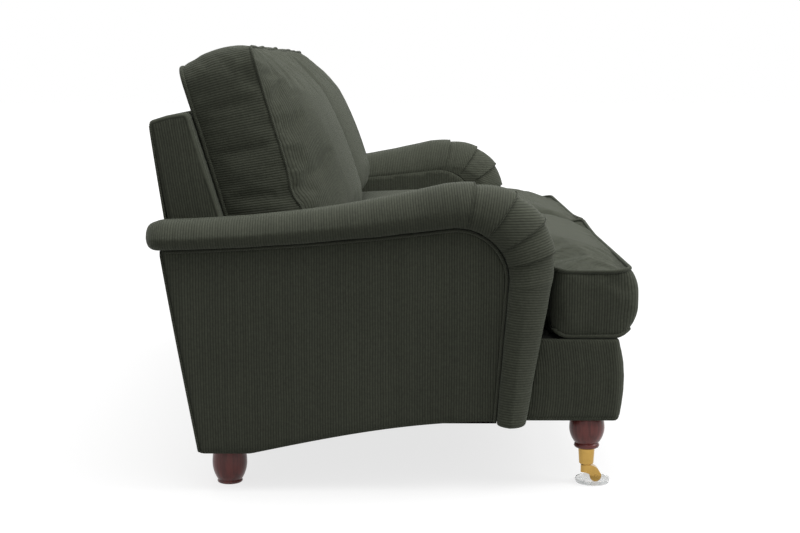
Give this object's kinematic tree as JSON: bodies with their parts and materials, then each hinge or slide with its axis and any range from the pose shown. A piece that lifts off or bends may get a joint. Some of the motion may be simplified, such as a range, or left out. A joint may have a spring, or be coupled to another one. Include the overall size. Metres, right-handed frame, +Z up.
{
  "type": "english roll arm sofa",
  "caption": "Upholstered sofa with low rolled arms, loose T-shaped seat cushions, loose back cushions, turned wooden feet and front legs on brass casters.",
  "frame": {"origin": "on the floor, under the middle of the sofa's length and depth", "axes": "+X along the sofa's length, +Y from front to back (the sofa faces -Y), +Z up"},
  "size_m": [1.8708, 0.984, 0.8908],
  "materials": {
    "cover_fabric": "ribbed corduroy, dark green-grey",
    "deck_fabric": "plain woven cloth",
    "dust_fabric": "thin non-woven cloth",
    "webbing": "woven band",
    "frame_wood": "sawn, unfinished",
    "turned_wood": "satin, dark red-brown stain",
    "brass": "polished",
    "steel": "plain",
    "clear_plastic": "clear, glossy"
  },
  "bodies": {
    "frame": {"arm_bottom_rail_left": "frame_wood", "arm_bottom_rail_right": "frame_wood", "arm_rear_post_left": "frame_wood", "arm_rear_post_right": "frame_wood", "arm_roll_left": "cover_fabric", "arm_roll_right": "cover_fabric", "arm_stump_left": "frame_wood", "arm_stump_right": "frame_wood", "arm_top_rail_left": "frame_wood", "arm_top_rail_right": "frame_wood", "arm_welt_left": "cover_fabric", "arm_welt_right": "cover_fabric", "back_bottom_rail": "frame_wood", "back_lower_rail": "frame_wood", "back_post_left": "frame_wood", "back_post_right": "frame_wood", "back_top_rail": "frame_wood", "back_webbing": "webbing", "caster_ferrule_left": "brass", "caster_ferrule_right": "brass", "centre_rail": "frame_wood", "corner_blocks": "frame_wood", "dust_cover": "dust_fabric", "front_border": "cover_fabric", "front_leg_left": "turned_wood", "front_leg_right": "turned_wood", "front_rail": "frame_wood", "hanger_bolts": "steel", "inner_arm_pad_left": "cover_fabric", "inner_arm_pad_right": "cover_fabric", "inside_back_pad": "cover_fabric", "outer_arm_panel_left": "cover_fabric", "outer_arm_panel_right": "cover_fabric", "outside_back_panel": "cover_fabric", "rear_foot_left": "turned_wood", "rear_foot_right": "turned_wood", "rear_seat_rail": "frame_wood", "seat_deck": "deck_fabric", "seat_springs": "steel", "side_border_left": "cover_fabric", "side_border_right": "cover_fabric", "side_rail_left": "frame_wood", "side_rail_right": "frame_wood", "spring_clips": "steel", "tee_nuts": "steel"},
    "seat_cushion_left": {"seat_cushion_left": "cover_fabric"},
    "back_cushion_left": {"back_cushion_left": "cover_fabric"},
    "caster_left": {"caster_stem_left": "steel", "caster_horn_left": "brass", "caster_axle_left": "brass", "caster_cup_left": "clear_plastic"},
    "caster_wheel_left": {"caster_wheel_left": "brass"},
    "seat_cushion_right": {"seat_cushion_right": "cover_fabric"},
    "back_cushion_right": {"back_cushion_right": "cover_fabric"},
    "caster_right": {"caster_stem_right": "steel", "caster_horn_right": "brass", "caster_axle_right": "brass", "caster_cup_right": "clear_plastic"},
    "caster_wheel_right": {"caster_wheel_right": "brass"}
  },
  "joints": [
    {"name": "seat_cushion_slide_left", "type": "slide", "parent": "frame", "child": "seat_cushion_left", "axis": [0, -1, 0], "range_m": [0, 0.25]},
    {"name": "back_cushion_lift_left", "type": "slide", "parent": "frame", "child": "back_cushion_left", "axis": [0, 0.2873, 0.9578], "range_m": [0, 0.3]},
    {"name": "caster_swivel_left", "type": "hinge", "parent": "frame", "child": "caster_left", "pos_m": [-0.815, -0.394, 0.04], "axis": [0, 0, 1], "continuous": true},
    {"name": "caster_wheel_turn_left", "type": "hinge", "parent": "caster_left", "child": "caster_wheel_left", "pos_m": [-0.815, -0.413, 0.01365], "axis": [1, 0, 0], "continuous": true},
    {"name": "seat_cushion_slide_right", "type": "slide", "parent": "frame", "child": "seat_cushion_right", "axis": [0, -1, 0], "range_m": [0, 0.25]},
    {"name": "back_cushion_lift_right", "type": "slide", "parent": "frame", "child": "back_cushion_right", "axis": [0, 0.2873, 0.9578], "range_m": [0, 0.3]},
    {"name": "caster_swivel_right", "type": "hinge", "parent": "frame", "child": "caster_right", "pos_m": [0.815, -0.394, 0.04], "axis": [0, 0, 1], "continuous": true},
    {"name": "caster_wheel_turn_right", "type": "hinge", "parent": "caster_right", "child": "caster_wheel_right", "pos_m": [0.815, -0.413, 0.01365], "axis": [1, 0, 0], "continuous": true}
  ]
}
